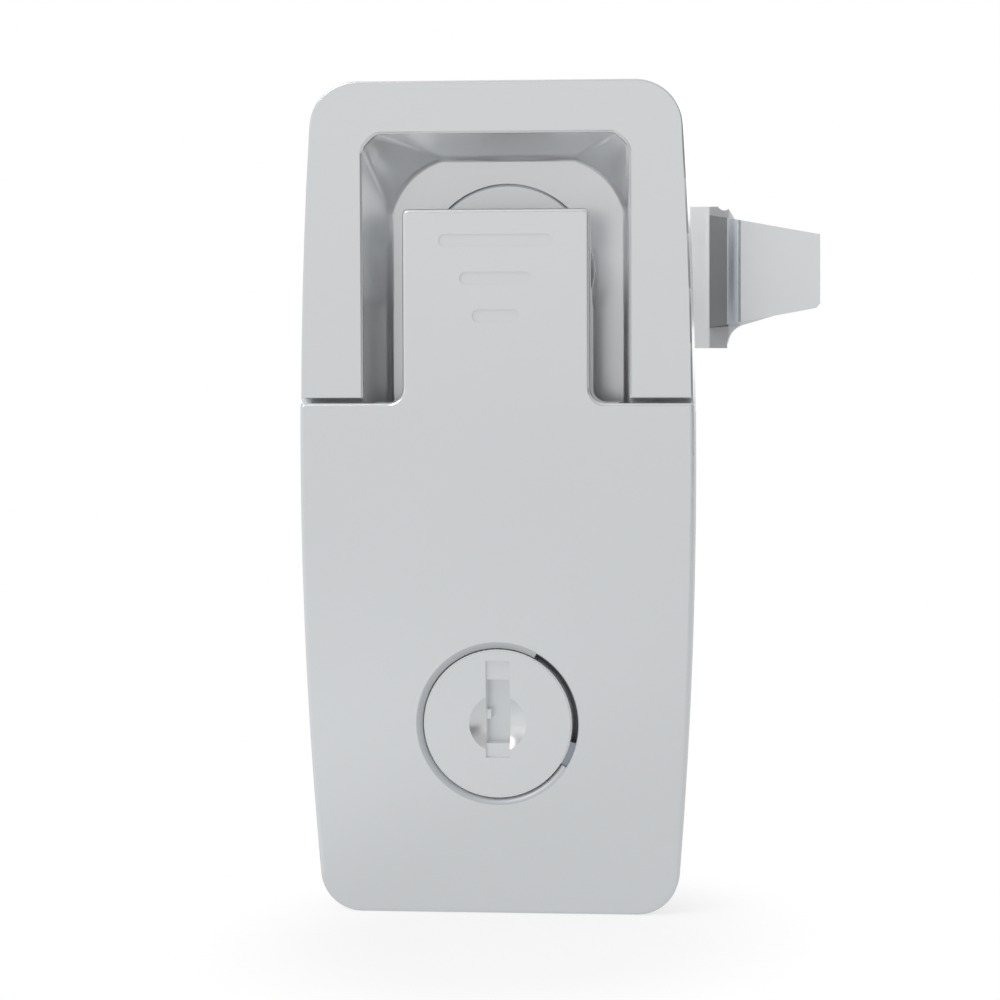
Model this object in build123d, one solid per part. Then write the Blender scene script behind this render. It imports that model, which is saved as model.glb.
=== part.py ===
from build123d import *
import math
import os

# A lift-and-turn compression latch with a key lock, shown closed.
# X is to the right, Y goes back through the panel and Z is up. The origin is
# where the spindle's axis meets the front of the panel. Sizes in millimetres.

# Outline of the body, seen from the front
top_z = 20.3
bottom_z = -69.6
bezel_band = 6.9
widest_z = -20.0
side_radius = 569.0
top_corner = 5.2
bottom_corner = 4.5
bezel_step_in = 0.12
split_z = -13.7
split_gap = 0.5

# Housing
gasket_thick = 1.0
bezel_thick = 5.0
flange_thick = 1.2
flange_step_in = 0.6
bezel_edge = 0.2
finger_gap = 4.3
recess_top_z = 14.6
recess_depth = 13.0
recess_side_draft = 1.25
recess_top_draft = 2.3
mouth_facet_leg = 1.44
crease_radius = 1.6
floor_corner_leg = 5.9
floor_corner_radius = 8.6
floor_foot = 0.5
well_below_lock = 11.5
well_corner = 6.5
pan_wall = 2.0
pan_corner = 3.0
pan_floor = 2.0
deep_well_above_lock = 8.9
deep_well_floor = 1.8
strike_gap = 1.1
strike_wall = 1.6
strike_half = 10.0
neck_wall = 1.45
neck_length = 11.0
rim_height = 1.8
rim_thick = 2.2
cam_travel_deg = 90.0
stop_tab_deg = 26.0
stop_play_deg = 2.0
tab_rest_deg = 180.0

# Rear screw posts
post_inset_x = 2.8
post_inset_top = 3.0
post_inset_bottom = 2.7
post_radius = 2.6
screw_hole_radius = 1.65
screw_hole_depth = 9.0

# Gasket
gasket_step_in = 0.8
gasket_clearance = 0.3

# Turntable in the recess floor
disc_thick = 2.0
disc_groove = 0.15
ear_gap = 0.25
ear_thick = 1.9
ear_edge = 0.35
ear_round = 3.0
ear_foot = 0.8
thrust_washer_thick = 0.5

# Handle
pivot_depth = 6.2
crown_radius = 1300.0
crown_z = -10.0
plate_wall = 2.0
plate_rim = 1.8
handle_edge = 0.45
handle_clearance = 0.3
tongue_over = 0.7
tongue_top_z = 6.5
tongue_corner = 0.6
tongue_root = 1.6
tongue_wall = 1.6
tongue_lip = 0.2
side_wall_inset = 0.2
side_wall_thick = 1.3
side_wall_run = 8.0
side_wall_reach = 1.0
side_wall_swing = 0.7
undercut_inset = 1.2
cheek_gap = 0.5
cheek_thick = 2.6
cheek_round = 4.2
cheek_toe_share = 0.6
cheek_toe_drop = 3.0
cheek_rib_bottom_z = -32.0
rib_thick = 1.6
rib_depth = 1.2
mark_height = 1.4
mark_depth = 0.3
mark_lengths = (12.3, 7.8, 5.1)
mark_top_z = 3.1
mark_pitch = 4.03

# Pins in the handle
pivot_radius = 1.5
pivot_grip = 1.4
pivot_head_radius = 2.75
pivot_head_thick = 1.15
pivot_dome_radius = 6.5
stud_radius = 1.2
stud_grip = 1.2
stud_gap = 0.2
stud_offset_y = -1.5
stud_offset_z = 1.5

# Key lock
lock_height = 20.7
lock_sink = 0.12
plug_head_radius = 8.03
plug_head_thick = 1.6
plug_radius = 5.5
plug_clearance = 0.1
plug_edge = 0.15
lip_edge = 0.65
barrel_flange_radius = 8.75
barrel_flange_thick = 1.6
barrel_radius = 7.5
barrel_length = 11.1
boss_radius = 10.0
boss_length = 2.7
ring_nut_thick = 2.4
ring_nut_notch = 2.2
ring_nut_notch_depth = 0.9
slot_start_deg = -32.5
slot_span_deg = 93.5
lug_deg = 18.0
lug_play_deg = 0.25
lug_sink = 0.6
dimple_radius = 3.1
dimple_depth = 1.1
face_slot_width = 2.6
face_slot_top = 6.8
face_slot_bottom = -3.7
face_slot_depth = 0.7
key_slot_top = 4.7
key_slot_bottom = -2.2
key_slot_depth = 10.5
ward_depth = 0.45
ward_height = 1.0
ward_z = 0.4
shutter_sink = 3.2
shutter_thick = 0.6
shutter_over = 0.45
shutter_play = 0.05
wafer_count = 4
wafer_thick = 0.8
wafer_pitch = 1.6
wafer_first = 4.3
wafer_bridge = 0.8
wafer_half_height = 4.5
wafer_half_width = 2.6
wafer_clearance = 0.1
arm_side_gap = 0.15
arm_half = 3.0
arm_hub_radius = 4.2
arm_thick = 1.7
arm_gap = 0.4
arm_square = 4.6
arm_rest_deg = 195.0
arm_screw_head_radius = 3.1
arm_screw_head_thick = 1.6
arm_screw_radius = 1.5
arm_screw_length = 5.0
arm_screw_edge = 0.5
arm_screw_play = 0.4
screw_gap = 0.79

# Buffers under the handle's lower end
buffer_radius = 1.6
buffer_x = 5.5
buffer_inset = 6.9
buffer_length = 3.4
buffer_gap = 0.08

# Drive sleeve and its washers
sleeve_wall = 2.4
sleeve_flange_step = 1.8
sleeve_flange_thick = 1.2
sleeve_tail = 4.0
running = 0.05
sleeve_flat_depth = 0.7
ring_groove_front = 3.5
ring_groove_width = 2.2
ring_groove_depth = 1.1
rim_gap = 0.4
stop_tab_inset = 0.3
stop_washer_thick = 1.2
washer_gap = 0.3
clip_thick = 0.8
clip_groove_depth = 0.7
clip_step = 1.5
clip_ear_x = 3.5
clip_ear_inset = 0.5
clip_ear_radius = 1.4
clip_ear_wall = 0.9
clip_mouth_deg = 50.0
ring_squeeze = 0.02

# Spindle, spring and cam
spindle_radius = 4.0
spindle_flat_half = 3.2
spindle_over = 2.8
spindle_fit = 0.06
spindle_tip_chamfer = 0.6
button_step = 0.2
button_thick = 1.0
button_edge = 0.3
button_play = 0.12
spindle_neck_radius = 1.9
spindle_neck_length = 2.9
spring_step = 1.6
spring_wire_radius = 0.6
spring_turns = 4.0
spring_gap = 0.1
spring_room = 6.8
collar_over = 1.4
collar_thick = 1.2
front_nut_thick = 4.0
rear_nut_thick = 5.0
nut_wall = 2.5
nut_chamfer = 0.5
lock_washer_thick = 1.2
lock_washer_wall = 2.6
cam_thick = 3.0
cam_hub_radius = 10.5
cam_root_top = 7.6
cam_root_bottom = 9.0
cam_root_end_x = 22.8
cam_shoulder_run = 0.9
cam_shoulder_drop = 1.5
cam_notch_x = 22.45
cam_notch_radius = 0.8
cam_notch_rise = 0.35
cam_web_x = 24.4
cam_web_drop = 6.35
cam_web_bulge = 0.4
cam_web_end_x = 28.4
cam_joggle_start_x = 20.45
cam_joggle_end_x = 23.6
cam_inner_bend = 0.7
cam_outer_bend = 1.8
cam_step = 5.0
cam_tip_x = 33.8
cam_waist_half = 6.65
cam_tip_half = 4.22
cam_tip_chamfer = 0.55
cam_lead = 3.0

# Widths that follow, from the spindle outwards
sleeve_radius = spindle_radius + sleeve_wall
sleeve_flange_radius = sleeve_radius + sleeve_flange_step
sleeve_flat_half = sleeve_radius - sleeve_flat_depth
clip_outer_radius = sleeve_radius + clip_step
clip_ear_z = clip_ear_inset - sleeve_radius
spring_mean_radius = spindle_radius + spring_step
collar_radius = spring_mean_radius + collar_over
nut_across_flats = 2 * (spindle_radius + nut_wall)
lock_washer_radius = spindle_radius + lock_washer_wall
button_radius = spindle_radius - button_step
stud_inner_x = spindle_neck_radius + stud_gap
cheek_inner_x = button_radius + cheek_gap
cheek_outer_x = cheek_inner_x + cheek_thick
ear_inner_x = cheek_outer_x + ear_gap
disc_radius = ear_inner_x + ear_thick + ear_edge
disc_pocket_radius = disc_radius + disc_groove
neck_radius = disc_pocket_radius + neck_wall
stop_washer_radius = neck_radius - rim_thick - rim_gap
stop_tab_radius = neck_radius - stop_tab_inset
tongue_half = disc_radius + tongue_over
recess_half = tongue_half + finger_gap
undercut_half = recess_half - undercut_inset
well_half = recess_half - recess_side_draft
pan_half = recess_half + pan_wall
widest_half = recess_half + bezel_band
arm_reach = well_half - arm_side_gap
post_x = pan_half - post_inset_x

# Heights that follow
lock_z = bottom_z + lock_height
well_bottom_z = lock_z - well_below_lock
deep_well_top_z = lock_z + deep_well_above_lock
strike_bottom_z = lock_z - arm_reach - strike_gap
pan_top_z = recess_top_z + pan_wall
pan_bottom_z = strike_bottom_z - strike_wall
post_top_z = pan_top_z - post_inset_top
post_bottom_z = pan_bottom_z + post_inset_bottom
buffer_z = bottom_z + buffer_inset

# Depths that follow, from the front backwards
front_y = -(gasket_thick + bezel_thick)
flange_back_y = -gasket_thick
flange_front_y = flange_back_y - flange_thick
floor_y = front_y + recess_depth
pivot_y = front_y + pivot_depth
handle_back_y = flange_front_y - handle_clearance
pan_back_y = floor_y + pan_floor
disc_back_y = floor_y + disc_thick
sleeve_front_y = disc_back_y + thrust_washer_thick
sleeve_seat_y = sleeve_front_y + sleeve_flange_thick
neck_back_y = pan_back_y + neck_length
washer_front_y = neck_back_y + washer_gap
clip_front_y = washer_front_y + stop_washer_thick + running
sleeve_back_y = neck_back_y + sleeve_tail
stud_y = pivot_y + stud_offset_y
button_back_y = stud_y - stud_radius - button_play
button_front_y = button_back_y - button_thick
neck_end_y = button_back_y + spindle_neck_length
collar_front_y = sleeve_back_y + spring_room
collar_back_y = collar_front_y + collar_thick
cam_root_y = collar_back_y + front_nut_thick
cam_back_y = cam_root_y + cam_thick
rear_nut_y = cam_back_y + lock_washer_thick
rear_nut_back_y = rear_nut_y + rear_nut_thick
spindle_end_y = rear_nut_back_y + spindle_over
split_radius = math.hypot(front_y - pivot_y, split_z)
shoulder_radius = split_radius + split_gap
shoulder_z = -math.sqrt(shoulder_radius ** 2 - (front_y - pivot_y) ** 2)

# Lengths for cuts and searches, not sizes of the latch
far = 200.0
over = 1.0
near = 0.01


def crown_y(z):
    # depth of the handle's slightly crowned front face at height z
    return front_y + crown_radius - math.sqrt(crown_radius ** 2 - (z - crown_z) ** 2)


lock_front_y = crown_y(lock_z)
plug_front_y = lock_front_y + lock_sink
head_back_y = plug_front_y + plug_head_thick
lip_back_y = head_back_y + plug_clearance
barrel_seat_y = lip_back_y + barrel_flange_thick
barrel_back_y = lip_back_y + barrel_length
boss_back_y = barrel_seat_y + boss_length
shutter_y = plug_front_y + shutter_sink
arm_front_y = barrel_back_y + arm_gap
arm_back_y = arm_front_y + arm_thick
screw_back_y = arm_back_y + arm_screw_head_thick
deep_floor_y = screw_back_y + screw_gap
deep_back_y = deep_floor_y + deep_well_floor


def front_view(y):
    # the plane at depth y whose sketch is drawn as seen from the front
    return Plane.XZ.offset(-y)


def plate(sketch, y_from, y_to):
    return extrude(front_view(y_to) * sketch, amount=y_to - y_from)


def side_profile(points, x_from, x_to):
    # a polygon of (y, z) points, carried from x_from to x_to
    face = make_face(Polyline(*[(0, y, z) for y, z in points], close=True))
    return Pos(x_from, 0, 0) * extrude(face, amount=x_to - x_from, dir=(1, 0, 0))


def turned(points, z=0.0):
    # a polygon of (radius, y) points, turned about an axis along Y
    face = make_face(Polyline(*[(r, y, 0) for r, y in points], close=True))
    return Pos(0, 0, z) * revolve(face, axis=Axis.Y)


def rod(radius, y_from, y_to, x=0.0, z=0.0):
    return Pos(x, 0, z) * plate(Circle(radius), y_from, y_to)


def cross_pin(radius, x_from, x_to, y, z):
    return Pos(x_from, y, z) * extrude(Plane.YZ * Circle(radius), amount=x_to - x_from)


def block(x_from, x_to, y_from, y_to, z_from, z_to):
    centre = ((x_from + x_to) / 2, (y_from + y_to) / 2, (z_from + z_to) / 2)
    return Pos(*centre) * Box(x_to - x_from, y_to - y_from, z_to - z_from)


def sector(radius, start_deg, span_deg):
    def at(angle):
        turn = math.radians(angle)
        return (radius * math.cos(turn), radius * math.sin(turn))
    start = at(start_deg)
    end = at(start_deg + span_deg)
    arc = ThreePointArc(start, at(start_deg + span_deg / 2), end)
    return make_face([Line((0, 0), start), arc, Line(end, (0, 0))])


def double_d(radius, flat_half):
    return Circle(radius) & Rectangle(2 * radius, 2 * flat_half)


def both_sides(part):
    return Part(children=[part, mirror(part, about=Plane.YZ)])


def side_x(z, step_in):
    # half width of the barrel-shaped outline at height z
    sag = side_radius - math.sqrt(side_radius ** 2 - (z - widest_z) ** 2)
    return widest_half - step_in - sag


def body_outline(step_in, low_z=bottom_z, high_z=top_z):
    bottom = low_z + (step_in if low_z == bottom_z else 0)
    top = high_z - (step_in if high_z == top_z else 0)
    middle = (bottom + top) / 2
    bottom_x = side_x(bottom, step_in)
    top_x = side_x(top, step_in)
    middle_x = side_x(middle, step_in)
    right = ThreePointArc((bottom_x, bottom), (middle_x, middle), (top_x, top))
    left = ThreePointArc((-top_x, top), (-middle_x, middle), (-bottom_x, bottom))
    edges = [right, Line((top_x, top), (-top_x, top)), left]
    face = make_face(edges + [Line((-bottom_x, bottom), (bottom_x, bottom))])
    if high_z == top_z:
        face = fillet(face.vertices().group_by(Axis.Y)[-1], top_corner - step_in)
    if low_z == bottom_z:
        face = fillet(face.vertices().group_by(Axis.Y)[0], bottom_corner - step_in)
    return face


def recess_outline(half, top, corner):
    # straight sides, the given pair of upper corners, round lower corners
    low = well_bottom_z
    low_out = well_corner * (1 - 1 / math.sqrt(2))
    left_low = (-half, low + well_corner)
    right_low = (half, low + well_corner)
    low_right = (half - well_corner, low)
    low_left = (-half + well_corner, low)
    left, right = corner(half, top)
    edges = [
        Line(left_low, left @ 0), left, Line(left @ 1, right @ 0), right,
        Line(right @ 1, right_low),
        ThreePointArc(right_low, (half - low_out, low + low_out), low_right),
        Line(low_right, low_left),
        ThreePointArc(low_left, (-half + low_out, low + low_out), left_low)]
    return make_face(edges)


def mouth_corner(half, top):
    leg = mouth_facet_leg
    left = Line((-half, top - leg), (-half + leg, top))
    return left, Line((half - leg, top), (half, top - leg))


def floor_corner(half, top):
    leg = floor_corner_leg
    rise = floor_corner_radius - math.sqrt(floor_corner_radius ** 2 - leg ** 2 / 2)
    mid_x = half - leg / 2 + rise / math.sqrt(2)
    mid_z = top - leg / 2 + rise / math.sqrt(2)
    left = ThreePointArc((-half, top - leg), (-mid_x, mid_z), (-half + leg, top))
    return left, ThreePointArc((half - leg, top), (mid_x, mid_z), (half, top - leg))


def recess_space():
    # straight walls lean in to the floor, and a facet widens down each upper corner to an arc
    mouth = recess_outline(recess_half, recess_top_z, mouth_corner)
    floor = recess_outline(well_half, recess_top_z - recess_top_draft, floor_corner)
    space = loft([front_view(front_y) * mouth, front_view(floor_y) * floor], ruled=True)
    creases = [edge for edge in space.edges()
               if (edge @ 0).Z > 0 and (edge @ 1).Z > 0 and abs((edge @ 0).Y - (edge @ 1).Y) > over]
    space = fillet(creases, crease_radius)
    foot = space.edges().filter_by_position(Axis.Y, floor_y - near, floor_y + near)
    space = fillet(foot, floor_foot)
    upper = [v for v in mouth.vertices() if v.Y > 0]
    mouth = fillet(upper, crease_radius - near)
    rim = [front_view(front_y) * offset(mouth, bezel_edge), front_view(front_y + bezel_edge) * mouth]
    return space + loft(rim, ruled=True)


def well_space():
    # the deeper well behind the lock, with the pocket that the arm turns into
    middle_z = (well_bottom_z + deep_well_top_z) / 2
    height = deep_well_top_z - well_bottom_z
    outline = Pos(0, middle_z) * RectangleRounded(2 * well_half, height, well_corner)
    well = plate(outline, floor_y - over, deep_floor_y)
    pocket = block(-strike_half, strike_half, arm_front_y - arm_gap, deep_floor_y,
                   strike_bottom_z, well_bottom_z + over)
    return well + pocket


def pan():
    middle_z = (pan_top_z + pan_bottom_z) / 2
    height = pan_top_z - pan_bottom_z
    outline = Pos(0, middle_z) * RectangleRounded(2 * pan_half, height, pan_corner)
    shell = plate(outline, flange_front_y, pan_back_y)
    deep_top = deep_well_top_z + pan_wall
    deep_middle = (deep_top + pan_bottom_z) / 2
    deep_outline = Pos(0, deep_middle) * RectangleRounded(
        2 * pan_half, deep_top - pan_bottom_z, pan_corner)
    shell += plate(deep_outline, pan_back_y - over, deep_back_y)
    for x in (-post_x, post_x):
        shell += rod(post_radius, pan_back_y - over, deep_back_y, x, post_top_z)
    return shell


def bezel():
    # the lower face is an arc about the handle's pivot, so the handle clears it
    solid = plate(body_outline(bezel_step_in, low_z=split_z - bezel_thick), front_y, flange_back_y)
    ends = block(-far, far, -far, far, -far, pivot_depth + split_z)
    solid -= ends - cross_pin(split_radius, -far, far, pivot_y, 0)
    edges = solid.edges().filter_by_position(Axis.Y, front_y - near, front_y + near)
    return fillet(edges, bezel_edge)


def neck():
    tube = rod(neck_radius, floor_y, neck_back_y)
    window_deg = cam_travel_deg + stop_tab_deg + 2 * stop_play_deg
    window_start = tab_rest_deg - stop_tab_deg / 2 - stop_play_deg
    rim = Circle(neck_radius) - Circle(neck_radius - rim_thick)
    rim -= sector(2 * neck_radius, window_start, window_deg)
    return tube + plate(rim, neck_back_y - over, neck_back_y + rim_height)


def neck_bores():
    return turned([
        (0, floor_y - over), (disc_pocket_radius, floor_y - over),
        (disc_pocket_radius, disc_back_y),
        (sleeve_flange_radius + running, disc_back_y),
        (sleeve_flange_radius + running, sleeve_seat_y),
        (sleeve_radius + running, sleeve_seat_y),
        (sleeve_radius + running, neck_back_y + over), (0, neck_back_y + over)])


def make_housing():
    solid = plate(body_outline(flange_step_in), flange_front_y, flange_back_y)
    solid += bezel() + pan() + neck()
    solid -= recess_space()
    solid -= well_space()
    solid -= neck_bores()
    for x in (-post_x, post_x):
        for z in (post_top_z, post_bottom_z):
            solid -= rod(screw_hole_radius, deep_back_y - screw_hole_depth, deep_back_y, x, z)
    for x in (-buffer_x, buffer_x):
        solid -= rod(buffer_radius, flange_front_y, flange_front_y + buffer_length, x, buffer_z)
    return solid


def make_gasket():
    inner_bottom = pan_bottom_z - gasket_clearance
    inner_top = pan_top_z + gasket_clearance
    hole = Pos(0, (inner_bottom + inner_top) / 2) * RectangleRounded(
        2 * (pan_half + gasket_clearance), inner_top - inner_bottom, pan_corner)
    return plate(body_outline(gasket_step_in) - hole, flange_back_y, 0)


def make_turntable():
    disc = rod(disc_radius, floor_y, disc_back_y)
    ear = plate(Pos(ear_inner_x + ear_thick / 2, 0) * Rectangle(ear_thick, 2 * ear_round),
                pivot_y, floor_y)
    ear += cross_pin(ear_round, ear_inner_x, ear_inner_x + ear_thick, pivot_y, 0)
    ear -= cross_pin(pivot_radius + running, 0, far, pivot_y, 0)
    solid = disc + ear + mirror(ear, about=Plane.YZ)
    feet = solid.edges().filter_by(Axis.Z).filter_by_position(
        Axis.Y, floor_y - near, floor_y + near)
    inner = [edge for edge in feet if abs(edge.center().X) < ear_inner_x + ear_thick / 2]
    solid = fillet(inner, ear_foot)
    return solid - rod(spindle_radius + washer_gap, floor_y - over, disc_back_y)


def make_pivot_pins():
    inner_x = cheek_outer_x - pivot_grip
    head_x = ear_inner_x + ear_thick
    top_x = head_x + pivot_head_thick

    def dome(radius):
        drop = pivot_dome_radius - math.sqrt(pivot_dome_radius ** 2 - radius ** 2)
        return (top_x - drop, radius)
    rim = dome(pivot_head_radius)
    sides = Polyline((top_x, 0), (inner_x, 0), (inner_x, pivot_radius), (head_x, pivot_radius),
                     (head_x, pivot_head_radius), rim)
    profile = make_face([sides, ThreePointArc(rim, dome(pivot_head_radius / 2), (top_x, 0))])
    return both_sides(Pos(0, pivot_y, 0) * revolve(profile, axis=Axis.X))


def make_thrust_washer():
    ring = Circle(sleeve_flange_radius - washer_gap) - Circle(spindle_radius + washer_gap)
    return plate(ring, disc_back_y, sleeve_front_y)


def make_buffers():
    front = crown_y(buffer_z - buffer_radius) + plate_wall + buffer_gap
    back = flange_front_y + buffer_length - buffer_gap
    pads = [rod(buffer_radius - running, front, back, x, buffer_z) for x in (-buffer_x, buffer_x)]
    return Part(children=pads)


def crowned(depth, back_y, half):
    # everything behind the crowned front face, set back by depth
    high = tongue_top_z + over
    low = bottom_z - over
    middle = (high + low) / 2
    arc = ThreePointArc((0, crown_y(high) + depth, high), (0, crown_y(middle) + depth, middle),
                        (0, crown_y(low) + depth, low))
    edges = [arc, Line((0, crown_y(low) + depth, low), (0, back_y, low)),
             Line((0, back_y, low), (0, back_y, high)),
             Line((0, back_y, high), (0, crown_y(high) + depth, high))]
    return Pos(-half, 0, 0) * extrude(make_face(edges), amount=2 * half, dir=(1, 0, 0))


def handle_outline():
    plate_part = body_outline(0, high_z=shoulder_z)
    root_z = shoulder_z - over
    tongue = Pos(0, (tongue_top_z + root_z) / 2) * Rectangle(2 * tongue_half, tongue_top_z - root_z)
    outline = plate_part + tongue
    inner = [v for v in outline.vertices()
             if abs(v.Y - shoulder_z) < near and abs(v.X) < tongue_half + over]
    outline = fillet(inner, tongue_root)
    outer = [v for v in outline.vertices()
             if abs(v.Y - shoulder_z) < near and abs(v.X) > widest_half - over]
    outline = fillet(outer, handle_edge)
    tips = outline.vertices().group_by(Axis.Y)[-1]
    return fillet(tips, tongue_corner)


def handle_shell():
    solid = plate(handle_outline(), front_y - over, handle_back_y)
    solid &= crowned(0, far, far)
    face = solid.faces().sort_by(Axis.Y)[0]
    solid = fillet(face.edges(), handle_edge)
    side = block(undercut_half, far, -far, far, shoulder_z - bezel_thick, 0)
    for cut in (side, mirror(side, about=Plane.YZ)):
        solid -= cut & cross_pin(shoulder_radius, -far, far, pivot_y, 0)
    return solid


def handle_hollows():
    hollow_top = shoulder_z - plate_rim - over
    plate_hollow = plate(body_outline(plate_rim, high_z=hollow_top), front_y, handle_back_y)
    tongue_in = tongue_half - side_wall_inset - side_wall_thick
    tongue_hollow = block(-tongue_in, tongue_in, front_y, handle_back_y + over,
                          hollow_top - over, tongue_top_z - tongue_lip)
    spaces = plate_hollow & crowned(plate_wall, far, far)
    return spaces + (tongue_hollow & crowned(tongue_wall, far, far))


def tongue_lip_cut():
    # the tongue's upper end is only a thin lip, behind which it clears the floor
    return block(-far, far, front_y + tongue_wall + tongue_lip, far,
                 -pivot_depth + cheek_round, far)


def side_wall():
    low = shoulder_z - side_wall_run
    high = -(ear_round + side_wall_swing)
    outer = tongue_half - side_wall_inset
    back = pivot_y + side_wall_reach
    face = front_y + tongue_wall / 2
    points = [(face, high), (back, high), (back, shoulder_z), (handle_back_y, low), (face, low)]
    return side_profile(points, outer - side_wall_thick, outer)


def cheek():
    face = front_y + tongue_wall / 2
    lobe = cross_pin(cheek_round, cheek_inner_x, cheek_outer_x, pivot_y, 0)
    toe = (pivot_y + cheek_round * cheek_toe_share, -cheek_round - cheek_toe_drop)
    points = [(face, cheek_round), (pivot_y, cheek_round), (pivot_y + cheek_round, 0), toe,
              (flange_front_y, cheek_rib_bottom_z), (face, cheek_rib_bottom_z)]
    web = side_profile(points, cheek_inner_x, cheek_outer_x)
    keep = block(-far, far, face, far, -far, far)
    return (lobe + web) & keep


def lock_boss():
    return rod(boss_radius, lock_front_y + over, boss_back_y, z=lock_z)


def plate_ribs():
    # two ribs from the cheeks down to the lock's boss, and one below it
    ribs = Part()
    rib_back = handle_back_y + rib_depth
    middle = (cheek_inner_x + cheek_outer_x) / 2
    for x in (-middle, middle):
        ribs += block(x - rib_thick / 2, x + rib_thick / 2, front_y + over, rib_back,
                      lock_z + boss_radius - rib_thick, cheek_rib_bottom_z + rib_thick)
    ribs += block(-rib_thick / 2, rib_thick / 2, lock_front_y + over, handle_back_y,
                  bottom_z + plate_rim / 2, lock_z - boss_radius + over)
    return ribs


def grip_marks():
    marks = Part()
    for index, length in enumerate(mark_lengths):
        mark = Pos(0, mark_top_z - index * mark_pitch) * SlotOverall(length, mark_height)
        marks += plate(mark, front_y - over, front_y + mark_depth)
    return marks


def lock_hole(solid):
    # the round hole in front of the plug, its edge rounded, and the arc slot for the plug's lug
    hole_radius = plug_head_radius + plug_clearance
    solid -= rod(hole_radius, front_y - over, lip_back_y + over, z=lock_z)
    rims = [edge for edge in solid.edges()
            if abs(edge.length - 2 * math.pi * hole_radius) < over
            and abs(edge.center().Y - lock_front_y) < lip_edge]
    solid = fillet(rims, lip_edge)
    slot = sector(barrel_flange_radius, slot_start_deg, slot_span_deg)
    slot -= Circle(plug_head_radius)
    return solid - plate(Pos(0, lock_z) * slot, front_y - over, lip_back_y)


def make_handle():
    shell = handle_shell() - handle_hollows() - tongue_lip_cut()
    inside = cheek() + mirror(cheek(), about=Plane.YZ)
    inside += side_wall() + mirror(side_wall(), about=Plane.YZ)
    inside += lock_boss() + plate_ribs()
    solid = shell + inside
    solid -= grip_marks()
    solid = lock_hole(solid)
    solid -= rod(barrel_flange_radius + running, lip_back_y, boss_back_y + over, z=lock_z)
    pivot_hole = cross_pin(pivot_radius + running, cheek_outer_x - pivot_grip - running,
                           cheek_outer_x, pivot_y, 0)
    stud_hole = cross_pin(stud_radius + running, cheek_inner_x,
                          cheek_inner_x + stud_grip + running, stud_y, stud_offset_z)
    for hole in (pivot_hole, stud_hole):
        solid = solid - hole - mirror(hole, about=Plane.YZ)
    return solid


def make_drive_studs():
    pin = cross_pin(stud_radius, stud_inner_x, cheek_inner_x + stud_grip, stud_y, stud_offset_z)
    return both_sides(pin)


def make_lock_barrel():
    bore = plug_radius + plug_clearance
    solid = turned([
        (bore, lip_back_y), (barrel_flange_radius, lip_back_y),
        (barrel_flange_radius, barrel_seat_y), (barrel_radius, barrel_seat_y),
        (barrel_radius, barrel_back_y), (bore, barrel_back_y)], lock_z)
    slot = sector(barrel_flange_radius + over, slot_start_deg, slot_span_deg)
    slot -= Circle(plug_head_radius)
    return solid - plate(Pos(0, lock_z) * slot, lip_back_y, barrel_seat_y)


def make_ring_nut():
    # screwed into the boss behind the barrel's flange, with four notches for a spanner
    ring = Circle(barrel_flange_radius) - Circle(barrel_radius + running)
    back = barrel_seat_y + ring_nut_thick
    solid = plate(Pos(0, lock_z) * ring, barrel_seat_y, back)
    for turn in (45, 135):
        bar = Rot(0, 0, turn) * Rectangle(3 * barrel_flange_radius, ring_nut_notch)
        solid -= plate(Pos(0, lock_z) * bar, back - ring_nut_notch_depth, back)
    return solid


def wafer_y(index):
    return plug_front_y + wafer_first + index * wafer_pitch


def key_hole(top, bottom, depth):
    low = lock_z + bottom
    high = lock_z + top
    half = face_slot_width / 2
    return block(-half, half, plug_front_y - over, plug_front_y + depth, low, high)


def shutter(play):
    # the dust shutter behind the keyway's mouth, or with play the pocket that it fills
    half = face_slot_width / 2 + shutter_over + play
    low = lock_z + key_slot_bottom - shutter_over - play
    high = lock_z + key_slot_top + shutter_over + play
    return block(-half, half, shutter_y - play, shutter_y + shutter_thick, low, high)


def make_lock_plug():
    edge = plug_edge
    solid = turned([
        (0, plug_front_y), (plug_head_radius - edge, plug_front_y),
        (plug_head_radius, plug_front_y + edge), (plug_head_radius, head_back_y),
        (plug_radius, head_back_y), (plug_radius, barrel_back_y),
        (0, barrel_back_y)], lock_z)
    lug_start = slot_start_deg + lug_play_deg
    lug = sector(barrel_flange_radius - running, lug_start, lug_deg) - Circle(plug_radius)
    solid += plate(Pos(0, lock_z) * lug, plug_front_y + lug_sink, head_back_y)
    square = Pos(0, lock_z) * Rot(0, 0, arm_rest_deg) * Rectangle(arm_square, arm_square)
    solid += plate(square, barrel_back_y - over, arm_back_y - running)
    ball = (dimple_radius ** 2 + dimple_depth ** 2) / (2 * dimple_depth)
    solid -= Pos(0, plug_front_y + dimple_depth - ball, lock_z) * Sphere(ball)
    solid -= key_hole(face_slot_top, face_slot_bottom, face_slot_depth)
    solid -= key_hole(key_slot_top, key_slot_bottom, key_slot_depth)
    half = face_slot_width / 2
    solid += block(-half - ward_depth, ward_depth - half, plug_front_y + dimple_depth,
                   plug_front_y + key_slot_depth, lock_z + ward_z, lock_z + ward_z + ward_height)
    solid -= shutter(shutter_play)
    for index in range(wafer_count):
        y = wafer_y(index)
        solid -= block(-wafer_half_width - wafer_clearance, wafer_half_width + wafer_clearance,
                       y - wafer_clearance, y + wafer_thick + wafer_clearance,
                       lock_z - wafer_half_height, lock_z + plug_radius + over)
    return solid - rod(arm_screw_radius + running, arm_back_y - arm_screw_length, arm_back_y,
                       z=lock_z)


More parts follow.
